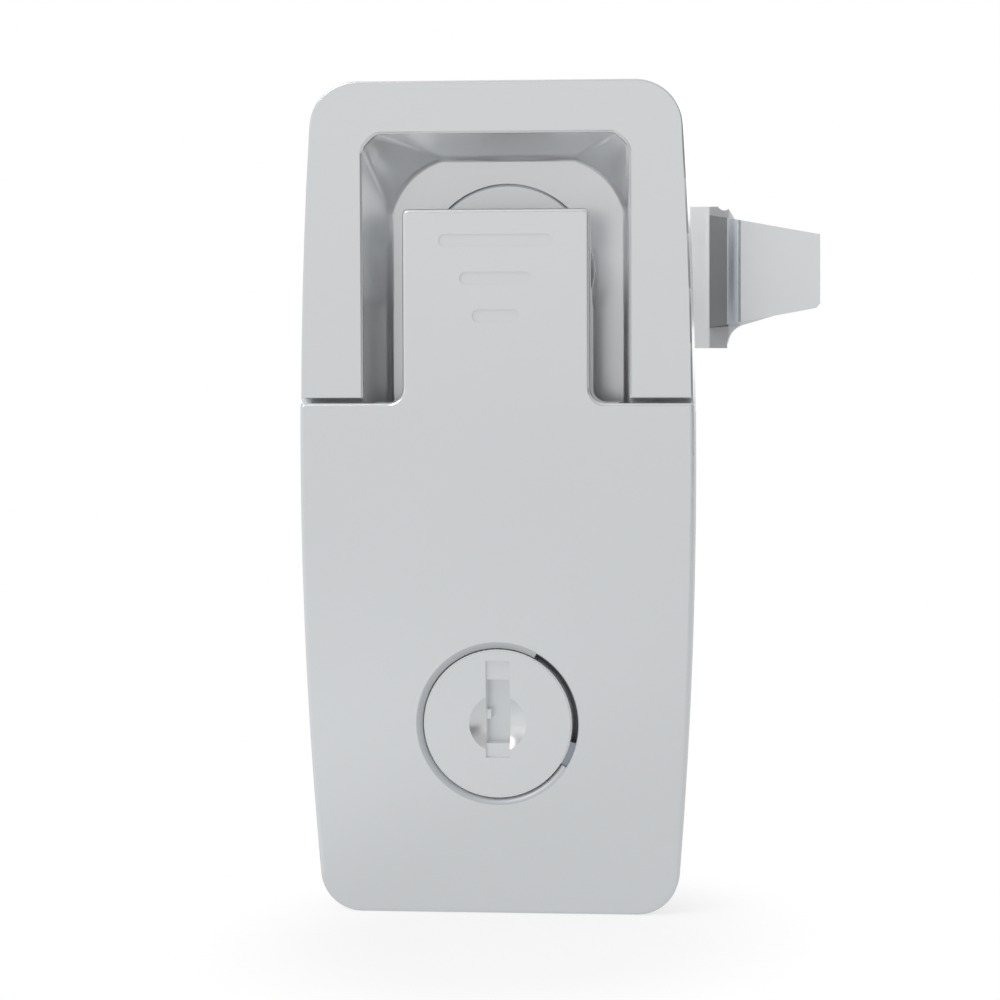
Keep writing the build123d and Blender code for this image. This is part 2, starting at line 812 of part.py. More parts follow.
def make_wafers():
    wafers = []
    for index in range(wafer_count):
        y = wafer_y(index)
        low = lock_z - wafer_half_height + wafer_clearance
        high = lock_z + wafer_half_height
        wafer = block(-wafer_half_width, wafer_half_width, y, y + wafer_thick, low, high)
        half = face_slot_width / 2
        window = block(-half, half, y - over, y + wafer_thick + over,
                       lock_z + key_slot_bottom, lock_z + key_slot_top - wafer_bridge)
        wafers.append(wafer - window)
    return Part(children=wafers)


def make_locking_arm():
    bar_length = arm_reach - arm_half
    bar = Pos(bar_length / 2, 0) * Rectangle(bar_length, 2 * arm_half)
    outline = bar + Circle(arm_hub_radius) + Pos(bar_length, 0) * Circle(arm_half)
    outline -= Rectangle(arm_square + 2 * running, arm_square + 2 * running)
    placed = Pos(0, lock_z) * Rot(0, 0, arm_rest_deg) * outline
    return plate(placed, arm_front_y, arm_back_y)


def make_arm_screw():
    edge = arm_screw_edge
    tip_y = arm_back_y - arm_screw_length + arm_screw_play
    return turned([
        (0, tip_y), (arm_screw_radius, tip_y),
        (arm_screw_radius, arm_back_y), (arm_screw_head_radius, arm_back_y),
        (arm_screw_head_radius, screw_back_y - edge), (arm_screw_head_radius - edge, screw_back_y),
        (0, screw_back_y)], lock_z)


def make_drive_sleeve():
    solid = rod(sleeve_flange_radius, sleeve_front_y, sleeve_seat_y)
    solid += rod(sleeve_radius, sleeve_seat_y, neck_back_y)
    solid += plate(double_d(sleeve_radius, sleeve_flat_half), neck_back_y, sleeve_back_y)
    hole = double_d(spindle_radius + spindle_fit, spindle_flat_half + spindle_fit)
    solid -= plate(hole, sleeve_front_y, sleeve_back_y)
    groove_y = sleeve_seat_y + ring_groove_front
    groove = Circle(sleeve_radius + over) - Circle(sleeve_radius - ring_groove_depth)
    solid -= plate(groove, groove_y, groove_y + ring_groove_width)
    clip_groove = Circle(sleeve_radius + over) - Circle(sleeve_flat_half - clip_groove_depth)
    return solid - plate(clip_groove, clip_front_y, clip_front_y + clip_thick + running)


def make_sleeve_ring():
    section = (ring_groove_depth + running) / 2 - ring_squeeze
    middle_y = sleeve_seat_y + ring_groove_front + ring_groove_width / 2
    middle_r = sleeve_radius - ring_groove_depth + section + ring_squeeze
    return revolve(Pos(middle_r, middle_y) * Circle(section), axis=Axis.Y)


def make_stop_washer():
    outline = Circle(stop_washer_radius)
    outline += sector(stop_tab_radius, tab_rest_deg - stop_tab_deg / 2, stop_tab_deg)
    outline -= double_d(sleeve_radius + running, sleeve_flat_half + running)
    return plate(outline, washer_front_y, washer_front_y + stop_washer_thick)


def make_sleeve_clip():
    inner = sleeve_flat_half - clip_groove_depth + running
    ring = Circle(clip_outer_radius) - Circle(inner)
    ring -= sector(2 * clip_outer_radius, 270 - clip_mouth_deg / 2, clip_mouth_deg)
    for x in (-clip_ear_x, clip_ear_x):
        ring += Pos(x, clip_ear_z) * Circle(clip_ear_radius) - Circle(inner)
        ring -= Pos(x, clip_ear_z) * Circle(clip_ear_radius - clip_ear_wall)
    return plate(ring, clip_front_y, clip_front_y + clip_thick)


def make_spindle():
    body = plate(double_d(spindle_radius, spindle_flat_half), neck_end_y, spindle_end_y)
    tip = spindle_radius - spindle_tip_chamfer
    body &= turned([
        (0, neck_end_y), (spindle_radius, neck_end_y),
        (spindle_radius, spindle_end_y - spindle_tip_chamfer), (tip, spindle_end_y),
        (0, spindle_end_y)])
    button = turned([
        (0, button_front_y), (button_radius - button_edge, button_front_y),
        (button_radius, button_front_y + button_edge), (button_radius, button_back_y),
        (spindle_neck_radius, button_back_y), (spindle_neck_radius, neck_end_y + over),
        (0, neck_end_y + over)])
    return body + button


def make_release_spring():
    low = sleeve_back_y + spring_wire_radius + spring_gap
    high = collar_front_y - spring_wire_radius - spring_gap
    pitch = (high - low) / spring_turns
    helix = Helix(pitch=pitch, height=high - low, radius=spring_mean_radius)
    section = Plane(origin=helix @ 0, z_dir=helix % 0) * Circle(spring_wire_radius)
    coil = sweep(section, path=helix, is_frenet=True)
    return Pos(0, low, 0) * Rot(-90, 0, 0) * coil


def make_spring_collar():
    ring = Circle(collar_radius) - double_d(spindle_radius + spindle_fit,
                                            spindle_flat_half + spindle_fit)
    return plate(ring, collar_front_y, collar_back_y)


def hex_nut(y_from, y_to):
    corner = nut_across_flats / math.sqrt(3)
    prism = plate(RegularPolygon(corner, 6, rotation=30), y_from, y_to)
    drop = nut_chamfer
    prism &= turned([
        (0, y_from), (corner - 2 * drop, y_from), (corner, y_from + drop),
        (corner, y_to - drop), (corner - 2 * drop, y_to), (0, y_to)])
    return prism - rod(spindle_radius + running, y_from - over, y_to + over)


def make_lock_washer():
    ring = Circle(lock_washer_radius) - Circle(spindle_radius + 2 * running)
    return plate(ring, cam_back_y, rear_nut_y)


def cam_root():
    # a flat plate with a small notch above the bend and a hollow curve below it
    shoulder = (cam_root_end_x + cam_shoulder_run, cam_root_top - cam_shoulder_drop)
    web_start = (cam_root_end_x, -cam_root_bottom)
    web_end = (cam_web_x, -cam_web_drop)
    web_middle = ((web_start[0] + web_end[0]) / 2 - cam_web_bulge,
                  (web_start[1] + web_end[1]) / 2 + cam_web_bulge)
    edges = [Polyline((0, -cam_root_bottom), (0, cam_root_top), (cam_root_end_x, cam_root_top),
                      shoulder, (cam_web_x, 0), web_end),
             ThreePointArc(web_end, web_middle, web_start), Line(web_start, (0, -cam_root_bottom))]
    outline = make_face(edges) + Circle(cam_hub_radius)
    outline -= Pos(cam_notch_x, cam_root_top + cam_notch_rise) * Circle(cam_notch_radius)
    return plate(outline, cam_root_y, cam_back_y)


def cam_arm():
    # the arm steps forward in a smooth bend and tapers to its tip
    front = cam_root_y - cam_step
    back = front + cam_thick
    start = cam_joggle_start_x
    end = cam_joggle_end_x
    side = make_face(Polyline((start - cam_lead, cam_root_y, 0), (start, cam_root_y, 0),
                              (end, front, 0), (cam_tip_x, front, 0), (cam_tip_x, back, 0),
                              (cam_web_end_x, back, 0), (cam_web_x, cam_back_y, 0),
                              (start - cam_lead, cam_back_y, 0), close=True))
    inner = [v for v in side.vertices() if abs(v.X - start) < near and abs(v.Y - cam_root_y) < near]
    side = fillet(inner, cam_inner_bend)
    outer = [v for v in side.vertices() if abs(v.X - end) < near and abs(v.Y - front) < near]
    side = fillet(outer, cam_outer_bend)
    bent = Pos(0, 0, -far / 4) * extrude(side, amount=far / 2, dir=(0, 0, 1))
    taper = (cam_waist_half - cam_tip_half) / (cam_tip_x - start)
    root_half = cam_waist_half + cam_lead * taper
    outline = make_face(Polyline((start - cam_lead, -root_half), (cam_tip_x, -cam_tip_half),
                                 (cam_tip_x, cam_tip_half), (start - cam_lead, root_half),
                                 close=True))
    outline = chamfer(outline.vertices().sort_by(Axis.Y)[:2].sort_by(Axis.X)[-1:], cam_tip_chamfer)
    return bent & plate(outline, front - over, cam_back_y + over)


def cam_web():
    # a gusset behind the bend, whose lower edge stands a little below the arm's
    back = cam_root_y - cam_step + cam_thick
    start = cam_joggle_start_x
    wedge = make_face(Polyline((start, cam_root_y, 0), (cam_web_x, back, 0),
                               (cam_web_end_x, back, 0), (cam_web_x, cam_back_y, 0),
                               (start, cam_back_y, 0), close=True))
    tall = Pos(0, 0, -far / 4) * extrude(wedge, amount=far / 2, dir=(0, 0, 1))
    taper = (cam_waist_half - cam_tip_half) / (cam_tip_x - start)
    end_drop = cam_waist_half - taper * (cam_web_end_x - start)
    outline = make_face(Polyline((start, 0), (start, -cam_waist_half), (cam_web_x, -cam_web_drop),
                                 (cam_web_end_x, -end_drop), (cam_web_end_x, 0), close=True))
    return tall & plate(outline, back - over, cam_back_y + over)


def make_cam():
    solid = cam_root() + cam_arm() + cam_web()
    hole = double_d(spindle_radius + spindle_fit, spindle_flat_half + spindle_fit)
    return solid - plate(hole, cam_root_y - over, cam_back_y + over)


def build_parts():
    return {
        "housing": make_housing(),
        "gasket": make_gasket(),
        "turntable": make_turntable(),
        "pivot_pins": make_pivot_pins(),
        "thrust_washer": make_thrust_washer(),
        "handle_buffers": make_buffers(),
        "handle": make_handle(),
        "drive_studs": make_drive_studs(),
        "lock_barrel": make_lock_barrel(),
        "lock_ring_nut": make_ring_nut(),
        "lock_plug": make_lock_plug(),
        "keyway_shutter": shutter(0),
        "lock_wafers": make_wafers(),
        "locking_arm": make_locking_arm(),
        "arm_screw": make_arm_screw(),
        "drive_sleeve": make_drive_sleeve(),
        "sleeve_o_ring": make_sleeve_ring(),
        "stop_washer": make_stop_washer(),
        "sleeve_clip": make_sleeve_clip(),
        "spindle": make_spindle(),
        "release_spring": make_release_spring(),
        "spring_collar": make_spring_collar(),
        "front_nut": hex_nut(collar_back_y, cam_root_y),
        "cam": make_cam(),
        "lock_washer": make_lock_washer(),
        "rear_nut": hex_nut(rear_nut_y, rear_nut_back_y),
    }


os.makedirs("parts", exist_ok=True)
for name, part in build_parts().items():
    export_step(part, f"parts/{name}.step")
    print(name, round(part.volume, 2))
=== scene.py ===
import math

import bpy
import numpy as np
from mathutils import Matrix, Vector


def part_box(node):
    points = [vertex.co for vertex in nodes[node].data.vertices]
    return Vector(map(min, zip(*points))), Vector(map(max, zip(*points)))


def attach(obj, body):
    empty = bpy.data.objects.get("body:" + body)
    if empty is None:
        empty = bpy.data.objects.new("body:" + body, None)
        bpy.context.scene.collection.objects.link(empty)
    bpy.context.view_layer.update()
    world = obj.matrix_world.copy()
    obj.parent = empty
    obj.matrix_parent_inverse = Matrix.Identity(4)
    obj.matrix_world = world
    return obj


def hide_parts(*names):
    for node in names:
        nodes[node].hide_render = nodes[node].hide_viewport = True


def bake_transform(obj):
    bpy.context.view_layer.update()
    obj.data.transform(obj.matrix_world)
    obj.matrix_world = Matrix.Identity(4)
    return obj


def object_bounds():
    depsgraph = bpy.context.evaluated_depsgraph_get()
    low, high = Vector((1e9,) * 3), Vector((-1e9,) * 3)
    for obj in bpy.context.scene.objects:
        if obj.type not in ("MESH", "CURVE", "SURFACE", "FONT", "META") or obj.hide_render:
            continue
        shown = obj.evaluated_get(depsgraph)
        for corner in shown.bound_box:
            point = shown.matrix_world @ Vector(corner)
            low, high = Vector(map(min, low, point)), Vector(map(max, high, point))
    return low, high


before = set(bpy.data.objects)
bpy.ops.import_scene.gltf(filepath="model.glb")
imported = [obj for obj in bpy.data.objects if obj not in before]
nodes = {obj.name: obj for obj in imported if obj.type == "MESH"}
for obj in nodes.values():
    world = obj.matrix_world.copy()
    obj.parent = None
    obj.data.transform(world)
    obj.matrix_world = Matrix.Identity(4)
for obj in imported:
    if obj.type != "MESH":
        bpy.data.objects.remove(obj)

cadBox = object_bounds()
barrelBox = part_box("lock_barrel")
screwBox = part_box("arm_screw")
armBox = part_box("locking_arm")
lockZ = (screwBox[0].z + screwBox[1].z) / 2    # height of the lock's axis
print("frame loaded:", len(nodes), "nodes, lock axis at", round(lockZ * 1000, 2), "mm")


# shader wiring

def plug(tree, target, value):
    # a wire is linked, a number or colour is set on the socket
    if isinstance(value, Wire):
        tree.links.new(value.socket, target)
    else:
        target.default_value = value


def setStops(ramp, stops):
    while len(ramp.elements) < len(stops):
        ramp.elements.new(0.5)
    for element, (position, colour) in zip(ramp.elements, stops):
        element.position = position
        element.color = colour


class Wire:
    # an output socket, with the arithmetic that the materials use
    def __init__(self, tree, socket=None):
        self.tree = tree
        self.socket = socket

    def node(self, kind, settings=None, values=None, out=0):
        # adds any node: its settings first, then its sockets by name or number
        made = self.tree.nodes.new("ShaderNode" + kind)
        for name, value in (settings or {}).items():
            if name == "stops":
                setStops(made.color_ramp, value)
            else:
                setattr(made, name, value)
        for name, value in (values or {}).items():
            plug(self.tree, made.inputs[name], value)
        return Wire(self.tree, made.outputs[out])

    def maths(self, operation, *values):
        return self.node("Math", {"operation": operation}, dict(enumerate(values)))

    def __add__(self, other):
        return self.maths("ADD", self, other)

    def __radd__(self, other):
        return self.maths("ADD", other, self)

    def __sub__(self, other):
        return self.maths("SUBTRACT", self, other)

    def __rsub__(self, other):
        return self.maths("SUBTRACT", other, self)

    def __mul__(self, other):
        return self.maths("MULTIPLY", self, other)

    def __rmul__(self, other):
        return self.maths("MULTIPLY", other, self)

    def __truediv__(self, other):
        return self.maths("DIVIDE", self, other)

    def __rtruediv__(self, other):
        return self.maths("DIVIDE", other, self)

    def step(self, low, high):
        # 0 below low and 1 above high, smooth between them
        return self.node("MapRange", {"interpolation_type": "SMOOTHSTEP"},
                         {"Value": self, "From Min": low, "From Max": high})

    def blend(self, colourA, colourB):
        # colourA where this wire is 0, colourB where it is 1
        return self.node("Mix", {"data_type": "RGBA"}, {0: self, 6: colourA, 7: colourB}, out=2)

    def part(self, axis):
        return self.node("SeparateXYZ", values={0: self}, out=axis)

    def stretch(self, scale):
        return self.node("Mapping", values={"Vector": self, "Scale": scale})

    def within(self, low, high, soft, edge=0.0002):
        # 1 inside the box between two corners, 0 outside it, with a soft start on each axis
        spots = [self.part(axis) for axis in range(3)]
        bands = [spot.step(a - s, a) * (1 - spot.step(b, b + edge))
                 for spot, a, b, s in zip(spots, low, high, soft)]
        return bands[0] * bands[1] * bands[2]

    def fromAxis(self, centre, axis):
        # distance from the line through centre along an axis
        local = self.node("VectorMath", {"operation": "SUBTRACT"}, {0: self, 1: centre})
        flat = local.node("VectorMath", {"operation": "MULTIPLY"},
                          {0: local, 1: [0.0 if i == axis else 1.0 for i in range(3)]})
        return flat.node("VectorMath", {"operation": "LENGTH"}, {0: flat}, out=1)

    def noise(self, scale, detail=2.0, roughness=0.5):
        return self.node("TexNoise", values={"Vector": self, "Scale": scale, "Detail": detail,
                                             "Roughness": roughness})


def newMaterial(name):
    material = bpy.data.materials.new(name)
    material.use_nodes = True
    tree = material.node_tree
    tree.nodes.clear()
    start = Wire(tree)
    place = start.node("TexCoord", out=3)    # Object coordinates, in metres
    return material, tree, start, place


def finishMaterial(material, tree, shader):
    output = tree.nodes.new("ShaderNodeOutputMaterial")
    tree.links.new(shader.socket, output.inputs["Surface"])
    return material


def shade(colour, alpha=1.0):
    return (colour[0], colour[1], colour[2], alpha)


def scaled(colour, factor):
    return shade([channel * factor for channel in colour])


# finishes

platedLook = {
    "tone": (0.822, 0.836, 0.846),    # bright plate, slightly cool
    "toneSpread": 0.010,
    "metal": 0.84,                    # the rest is the soft glow of the satin under the plate
    "rough": 0.235,
    "roughSpread": 0.040,
    "cloudScale": 55.0,               # slow change of polish, per metre
    "cloudDetail": 3.0,
    "grainScale": 5200.0,             # fine stipple of the casting under the plate
    "grainDetail": 2.0,
    "grainDepth": 0.0000012,
    "ringEdge": 0.00003,              # half the width over which a ring comes in
    "ringOnset": 0.00008,             # depth over which it does
}

turnedLook = {
    "tone": (0.560, 0.565, 0.570),
    "rough": 0.240,
    "roughSpread": 0.10,
    "toneSpread": 0.05,
    "driftScale": 180.0,
    "driftDetail": 2.0,
    "driftTurns": 5.0,                # how far the tool marks wander
    "ringPitch": 0.00011,             # distance between tool marks
    "ringDepth": 0.0000015,
    "ringRough": 0.02,
}

pressedLook = {
    "tone": (0.585, 0.590, 0.585),
    "toneWarm": (0.600, 0.585, 0.545),
    "rough": 0.300,
    "roughSpread": 0.10,
    "cloudScale": 120.0,
    "cloudFrom": 0.42,
    "cloudTo": 0.66,
    "crystalScale": 900.0,
    "crystalShare": 0.12,
    "crystalTone": 0.7,
    "scratchScale": (260.0, 5200.0, 260.0),
    "scratchDepth": 0.0000012,
}

wireLook = {
    "tone": (0.500, 0.505, 0.510),
    "rough": 0.260,
    "roughSpread": 0.12,
    "patchScale": 300.0,
    "toneLow": 0.85,
    "toneHigh": 1.1,
    "drawStretch": (1.0, 0.15, 1.0),
    "drawScale": 2600.0,
    "drawDepth": 0.000002,
}

brassLook = {
    "tone": (0.700, 0.520, 0.240),
    "toneDark": (0.560, 0.380, 0.150),
    "rough": 0.280,
    "roughSpread": 0.10,
    "spotScale": 1400.0,
    "spotFrom": 0.35,
    "spotTo": 0.70,
    "spotDepth": 0.000002,
}

rubberLook = {
    "tone": (0.016, 0.016, 0.017),
    "toneDusty": (0.034, 0.034, 0.035),
    "rough": 0.620,
    "roughSpread": 0.16,
    "specular": 0.4,
    "dustScale": 90.0,
    "dustFrom": 0.45,
    "dustTo": 0.80,
    "speckScale": 3200.0,
    "speckDepth": 0.000010,
}


def platedMetal(name, look, boxes=(), rings=()):
    # boxes and rings are places with their own tone, metal share and roughness, where highlights,
    # reflections and shade are painted: inside a box, or between two distances from an axis along
    # Y and behind a depth
    material, tree, start, place = newMaterial(name)
    cloud = place.noise(look["cloudScale"], look["cloudDetail"])
    grain = place.noise(look["grainScale"], look["grainDetail"])
    tone = cloud.blend(scaled(look["tone"], 1 - look["toneSpread"]),
                       scaled(look["tone"], 1 + look["toneSpread"]))
    rough = look["rough"] + (cloud - 0.5) * look["roughSpread"]
    metal = look["metal"]
    places = [(place.within(spot["low"], spot["high"], spot["soft"]), spot) for spot in boxes]
    edge = look["ringEdge"]
    for spot in rings:
        radius = place.fromAxis((0.0, 0.0, spot["height"]), 1)
        ring = radius.step(spot["inner"] - edge, spot["inner"] + edge)
        ring = ring * (1 - radius.step(spot["outer"] - edge, spot["outer"] + edge))
        depth = place.part(1).step(spot["behind"], spot["behind"] + look["ringOnset"])
        places.append((ring * depth, spot))
    for share, spot in places:
        tone = share.blend(tone, shade(spot["tone"]))
        rough = rough + share * (spot["rough"] - rough)
        metal = metal + share * (spot["metal"] - metal)
    bump = start.node("Bump", values={"Height": grain, "Distance": look["grainDepth"]})
    shader = start.node("BsdfPrincipled", values={"Base Color": tone, "Metallic": metal,
                                                  "Roughness": rough, "Normal": bump})
    return finishMaterial(material, tree, shader)


dullShadedNutLook = dict(turnedLook, tone=(0.300, 0.305, 0.310), rough=0.560)    # nut in the lock's slot: rough, and toned dark as painted shade of the narrow slot


def turnedMetal(name, look, centre, axis):
    # tool marks: rings about the axis through centre, closer than the eye separates
    material, tree, start, place = newMaterial(name)
    radius = place.fromAxis(centre, axis)
    along = place.part(axis)
    drift = place.noise(look["driftScale"], look["driftDetail"])
    turns = (radius + along) / look["ringPitch"] + drift * look["driftTurns"]
    marks = turns.maths("SINE", turns)
    tone = drift.blend(scaled(look["tone"], 1 - look["toneSpread"]),
                       scaled(look["tone"], 1 + look["toneSpread"]))
    rough = look["rough"] + (drift - 0.5) * look["roughSpread"] + marks * look["ringRough"]
    bump = start.node("Bump", values={"Height": marks, "Distance": look["ringDepth"]})
    shader = start.node("BsdfPrincipled", values={"Base Color": tone, "Metallic": 1.0,
                                                  "Roughness": rough, "Normal": bump})
    return finishMaterial(material, tree, shader)


def pressedMetal(name, look):
    # zinc on rolled sheet: a cool ground with warmer clouds and the drawing lines of the roll
    material, tree, start, place = newMaterial(name)
    crystals = start.node("TexVoronoi", {"feature": "F1"},
                          {"Vector": place, "Scale": look["crystalScale"]}, out="Color")
    facets = crystals.part(0)
    cloud = place.noise(look["cloudScale"], 3.0)
    lines = place.stretch(look["scratchScale"]).noise(1.0, 3.0)
    warm = cloud.step(look["cloudFrom"], look["cloudTo"])
    tone = warm.blend(shade(look["tone"]), shade(look["toneWarm"]))
    tone = (facets * look["crystalShare"]).blend(tone, scaled(look["tone"], look["crystalTone"]))
    rough = look["rough"] + (facets - 0.5) * look["roughSpread"]
    bump = start.node("Bump", values={"Height": lines, "Distance": look["scratchDepth"]})
    shader = start.node("BsdfPrincipled", values={"Base Color": tone, "Metallic": 1.0,
                                                  "Roughness": rough, "Normal": bump})
    return finishMaterial(material, tree, shader)


def drawnWire(name, look):
    material, tree, start, place = newMaterial(name)
    streak = place.stretch(look["drawStretch"]).noise(look["drawScale"], 2.0)
    patch = place.noise(look["patchScale"], 2.0)
    tone = patch.blend(scaled(look["tone"], look["toneLow"]),
                       scaled(look["tone"], look["toneHigh"]))
    rough = look["rough"] + (streak - 0.5) * look["roughSpread"]
    bump = start.node("Bump", values={"Height": streak, "Distance": look["drawDepth"]})
    shader = start.node("BsdfPrincipled", values={"Base Color": tone, "Metallic": 1.0,
                                                  "Roughness": rough, "Normal": bump})
    return finishMaterial(material, tree, shader)


def rolledBrass(name, look):
    material, tree, start, place = newMaterial(name)
    spots = place.noise(look["spotScale"], 3.0)
    dark = spots.step(look["spotFrom"], look["spotTo"])
    tone = dark.blend(shade(look["tone"]), shade(look["toneDark"]))
    rough = look["rough"] + (spots - 0.5) * look["roughSpread"]
    bump = start.node("Bump", values={"Height": spots, "Distance": look["spotDepth"]})
    shader = start.node("BsdfPrincipled", values={"Base Color": tone, "Metallic": 1.0,
                                                  "Roughness": rough, "Normal": bump})
    return finishMaterial(material, tree, shader)


def sealRubber(name, look):
    material, tree, start, place = newMaterial(name)
    specks = place.noise(look["speckScale"], 3.0)
    dust = place.noise(look["dustScale"], 4.0)
    dusty = dust.step(look["dustFrom"], look["dustTo"])
    tone = dusty.blend(shade(look["tone"]), shade(look["toneDusty"]))
    rough = look["rough"] + (dust - 0.5) * look["roughSpread"]
    bump = start.node("Bump", values={"Height": specks, "Distance": look["speckDepth"]})
    shader = start.node("BsdfPrincipled", values={"Base Color": tone, "Roughness": rough,
                                                  "Specular IOR Level": look["specular"],
                                                  "Normal": bump})
    return finishMaterial(material, tree, shader)


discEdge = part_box("turntable")[1].x
plugEdge = -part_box("lock_plug")[0].x
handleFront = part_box("handle")[0].y
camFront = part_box("cam")[1].y - 0.0030    # front of the root, a plate of 3 mm
everywhere = 1.0    # a distance beyond the whole latch

recessPaintedLight = {
    "low": (-0.0145, -0.0053, -0.0180),    # the finger recess behind the face, toned lighter and less metallic than the plate: painted light in the recess
    "high": (0.0145, 0.0142, 0.0147),
    "soft": (0.0002, 0.0004, 0.0080),
    "tone": (0.972, 0.984, 0.996),
    "metal": 0.58,
    "rough": 0.215,
}
camRootHighlight = {
    "low": (0.0130, 0.0356, -0.0200),      # the front of the root, beside the body, toned near white as a painted reflection of the white backdrop
    "high": (0.0400, camFront + 0.0002, 0.0200),
    "soft": (0.0040, 0.0002, 0.0002),
    "tone": (0.975, 0.980, 0.985),
    "metal": 0.10,
    "rough": 0.330,
}
camJoggleShade = {
    "low": (0.0208, -everywhere, -everywhere),    # the slope between root and tip, toned dark as a painted dark reflection
    "high": (0.0229, camFront - 0.0001, everywhere),
    "soft": (0.0002, 0.0002, 0.0002),
    "tone": (0.270, 0.275, 0.280),
    "metal": 0.84,
    "rough": 0.260,
}
camBendHighlight = {
    "low": (0.0231, -everywhere, -everywhere),    # the bend after it, toned light and bluish as a painted highlight
    "high": (0.0241, camFront - 0.0001, everywhere),
    "soft": (0.0002, 0.0002, 0.0002),
    "tone": (0.680, 0.725, 0.770),
    "metal": 0.84,
    "rough": 0.300,
}
# painted shade: the disc's outer edge at the groove is toned darker
discRimShade = {"height": 0.0, "inner": discEdge - 0.00016, "outer": everywhere, "behind": -everywhere,
           "tone": (0.46, 0.50, 0.54), "metal": 0.84, "rough": 0.30}
# painted highlight: a thin ring at the plug's edge toned near white
plugRimHighlight = {"height": lockZ, "inner": plugEdge - 0.00012, "outer": plugEdge + 0.00005,
           "behind": -everywhere, "tone": (0.96, 0.97, 0.98), "metal": 0.20, "rough": 0.30}
# painted shade: the sunk lug outside the plug's edge is toned dark and bluish
plugLugShade = {"height": lockZ, "inner": plugEdge + 0.00005, "outer": everywhere,
           "behind": -everywhere, "tone": (0.36, 0.40, 0.45), "metal": 0.84, "rough": 0.30}
# painted highlight: a thin ring of the barrel around the plug toned near white
barrelBoreHighlight = {"height": lockZ, "inner": plugEdge - 0.00005, "outer": plugEdge + 0.00015,
              "behind": -everywhere, "tone": (0.96, 0.97, 0.98), "metal": 0.10, "rough": 0.40}
# painted shade: the fillet round the lock hole is toned darker; it is also rougher
holeFilletShade = {"height": lockZ, "inner": -barrelBox[0].x - 0.0006,
              "outer": -barrelBox[0].x + 0.00010, "behind": handleFront + 0.00002,
              "tone": (0.56, 0.58, 0.60), "metal": 0.50, "rough": 0.50}

plated = platedMetal("platedCasting", platedLook)
platedBarrel = platedMetal("platedBarrel", platedLook, rings=[barrelBoreHighlight])
platedHousing = platedMetal("platedHousing", platedLook, boxes=[recessPaintedLight])
platedHandle = platedMetal("platedHandle", platedLook, rings=[holeFilletShade])
# painted light: the cam carries the same plate toned lighter than elsewhere
platedCam = platedMetal("platedCam", dict(platedLook, tone=(0.878, 0.892, 0.902)),
                        boxes=[camRootHighlight, camJoggleShade, camBendHighlight])
platedDisc = platedMetal("platedDisc", platedLook, rings=[discRimShade])
platedPlug = platedMetal("platedPlug", platedLook, rings=[plugRimHighlight, plugLugShade])
pressed = pressedMetal("pressedSteel", pressedLook)
springWire = drawnWire("springWire", wireLook)
brass = rolledBrass("waferBrass", brassLook)
rubber = sealRubber("sealRubber", rubberLook)
turned = turnedMetal("turnedSteel", turnedLook, (0.0, 0.0, 0.0), 1)
turnedPins = turnedMetal("turnedPins", turnedLook, (0.0, 0.0, 0.0), 0)
turnedLock = turnedMetal("turnedLock", turnedLook, (0.0, 0.0, lockZ), 1)
dullShadedNut = turnedMetal("dullShadedNut", dullShadedNutLook, (0.0, 0.0, lockZ), 1)

finishes = {
    plated: ["keyway_shutter"],
    platedBarrel: ["lock_barrel"],
    platedHousing: ["housing"],
    platedHandle: ["handle"],
    platedCam: ["cam"],
    platedDisc: ["turntable"],
    platedPlug: ["lock_plug"],
    turned: ["drive_sleeve", "spindle", "front_nut", "rear_nut"],
    turnedPins: ["pivot_pins", "drive_studs"],
    turnedLock: ["arm_screw"],
    dullShadedNut: ["lock_ring_nut"],
    pressed: ["thrust_washer", "stop_washer", "sleeve_clip", "spring_collar", "lock_washer",
              "locking_arm"],
    springWire: ["release_spring"],
    brass: ["lock_wafers"],
    rubber: ["gasket", "sleeve_o_ring", "handle_buffers"],
}

for material, names in finishes.items():
    for name in names:
        slots = nodes[name].data.materials
        slots.clear()
        slots.append(material)
print("finishes set on the solids")


# pieces worked out as surfaces

def gridMesh(name, points, closeAround=True, capStart=True, capEnd=True, sharpDeg=35.0):
    # points[i, j]: i runs along the piece and j around it; rings are joined by quads
    rows, around = points.shape[:2]
    i, j = np.meshgrid(np.arange(rows - 1), np.arange(around if closeAround else around - 1),
                       indexing="ij")
    k = (j + 1) % around
    quads = np.stack([i * around + j, (i + 1) * around + j, (i + 1) * around + k,
                      i * around + k], axis=-1).reshape(-1, 4)
    faces = quads.tolist()
    if capStart:
        faces.append(list(range(around)))
    if capEnd:
        faces.append(list(range(rows * around - 1, (rows - 1) * around - 1, -1)))
    mesh = bpy.data.meshes.new(name)
    mesh.from_pydata(points.reshape(-1, 3).tolist(), [], faces)
    mesh.update()
    mesh.shade_smooth()
    mesh.set_sharp_from_angle(angle=math.radians(sharpDeg))
    piece = bpy.data.objects.new(name, mesh)
    bpy.context.scene.collection.objects.link(piece)
    return piece


def dress(piece, material, body):
    piece.data.materials.append(material)
    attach(piece, body)
    return piece


def smoothRamp(value, low, high):
    share = np.clip((value - low) / (high - low), 0.0, 1.0)
    return share * share * (3 - 2 * share)


spindleSizes = {
    "radius": 0.0040,
    "flatHalf": 0.0032,
    "buttonRadius": 0.0038,
    "buttonEdge": 0.0003,
    "buttonFront": -0.003620,
    "buttonBack": -0.002620,
    "neckRadius": 0.0019,
    "neckEnd": 0.000280,
    "threadStart": 0.0308,
    "threadPitch": 0.00125,
    "threadDepth": 0.00068,
    "crestShare": 0.1,         # shares of a turn on the crest and on the flanks
    "flankShare": 0.8,
    "tip": 0.0480,
    "tipChamfer": 0.0006,
    "arcColumns": 44,
    "flatColumns": 14,
    "rowStep": 0.00009,
}


